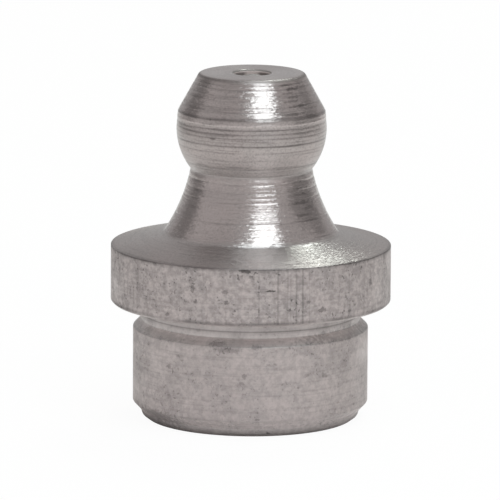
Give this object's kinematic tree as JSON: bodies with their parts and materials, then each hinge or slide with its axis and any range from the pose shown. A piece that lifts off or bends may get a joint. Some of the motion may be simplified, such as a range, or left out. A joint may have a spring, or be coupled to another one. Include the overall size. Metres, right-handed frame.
{
  "type": "grease nipple",
  "caption": "Straight drive-in grease nipple with a hydraulic coupler head, a round flange, a smooth press-in shank and a sprung check ball.",
  "frame": {"origin": "centre of the nose's end face, on the nipple's axis: the part stands on this face", "axes": "+Z along the nipple's axis, from the pressed-in nose up to the coupler head; X and Y are alike, because the body is turned"},
  "size_m": [0.0122, 0.0122, 0.0151],
  "materials": {
    "turned_steel": "bare turned steel, matte and finely pitted on the flange and shank, satin with turning lines on the head and flare",
    "ball_steel": "polished bearing steel, lightly dulled",
    "spring_steel": "drawn spring wire"
  },
  "bodies": {
    "nipple": {"nipple_body": "turned_steel", "spring": "spring_steel"},
    "ball": {"check_ball": "ball_steel"}
  },
  "joints": [
    {"name": "ball_lift", "type": "slide", "parent": "nipple", "child": "ball", "axis": [0, 0, -1], "range_m": [0, 0.001], "stiffness_N_per_m": 1080, "springref_m": -0.0006, "deforming": ["spring"]}
  ]
}
